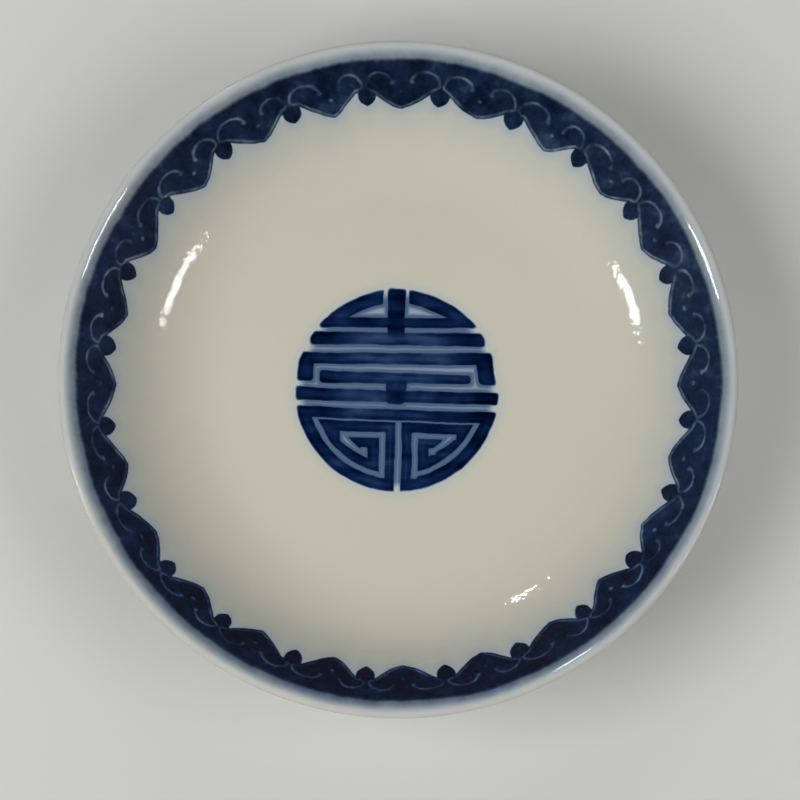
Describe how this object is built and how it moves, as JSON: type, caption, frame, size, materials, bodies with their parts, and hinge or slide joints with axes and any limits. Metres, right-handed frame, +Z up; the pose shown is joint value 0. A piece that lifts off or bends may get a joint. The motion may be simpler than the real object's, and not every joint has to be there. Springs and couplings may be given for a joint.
{
  "type": "dish",
  "caption": "Shallow round porcelain dish with a flared lip, curved wall and turned foot ring, painted in cobalt blue with a lappet border and a round emblem under a clear glaze.",
  "frame": {"origin": "middle of the foot ring, on the table", "axes": "+Z up out of the dish, +Y towards the top of the emblem in the well, -Y the front, +X to the right"},
  "size_m": [0.15, 0.15, 0.0325],
  "materials": {
    "porcelain": "fired white porcelain, bare and matt at the foot",
    "cobalt": "cobalt blue painting under the glaze",
    "clear_glaze": "clear glossy glaze"
  },
  "bodies": {
    "root": {"porcelain_body": "porcelain", "border_band": "cobalt", "border_lappet_01": "cobalt", "border_lappet_02": "cobalt", "border_lappet_03": "cobalt", "border_lappet_04": "cobalt", "border_lappet_05": "cobalt", "border_lappet_06": "cobalt", "border_lappet_07": "cobalt", "border_lappet_08": "cobalt", "border_lappet_09": "cobalt", "border_lappet_10": "cobalt", "border_lappet_11": "cobalt", "border_lappet_12": "cobalt", "border_lappet_13": "cobalt", "border_lappet_14": "cobalt", "border_lappet_15": "cobalt", "border_lappet_16": "cobalt", "border_lappet_17": "cobalt", "border_lappet_18": "cobalt", "border_lappet_19": "cobalt", "border_lappet_20": "cobalt", "border_lappet_21": "cobalt", "border_lappet_22": "cobalt", "border_lappet_23": "cobalt", "border_lappet_24": "cobalt", "border_bud_01": "cobalt", "border_bud_02": "cobalt", "border_bud_03": "cobalt", "border_bud_04": "cobalt", "border_bud_05": "cobalt", "border_bud_06": "cobalt", "border_bud_07": "cobalt", "border_bud_08": "cobalt", "border_bud_09": "cobalt", "border_bud_10": "cobalt", "border_bud_11": "cobalt", "border_bud_12": "cobalt", "border_bud_13": "cobalt", "border_bud_14": "cobalt", "border_bud_15": "cobalt", "border_bud_16": "cobalt", "border_bud_17": "cobalt", "border_bud_18": "cobalt", "border_bud_19": "cobalt", "border_bud_20": "cobalt", "border_bud_21": "cobalt", "border_bud_22": "cobalt", "border_bud_23": "cobalt", "border_bud_24": "cobalt", "emblem_crown": "cobalt", "emblem_bracket": "cobalt", "emblem_waist": "cobalt", "emblem_frets": "cobalt", "inside_glaze": "clear_glaze", "outside_glaze": "clear_glaze", "base_glaze": "clear_glaze"}
  },
  "joints": []
}
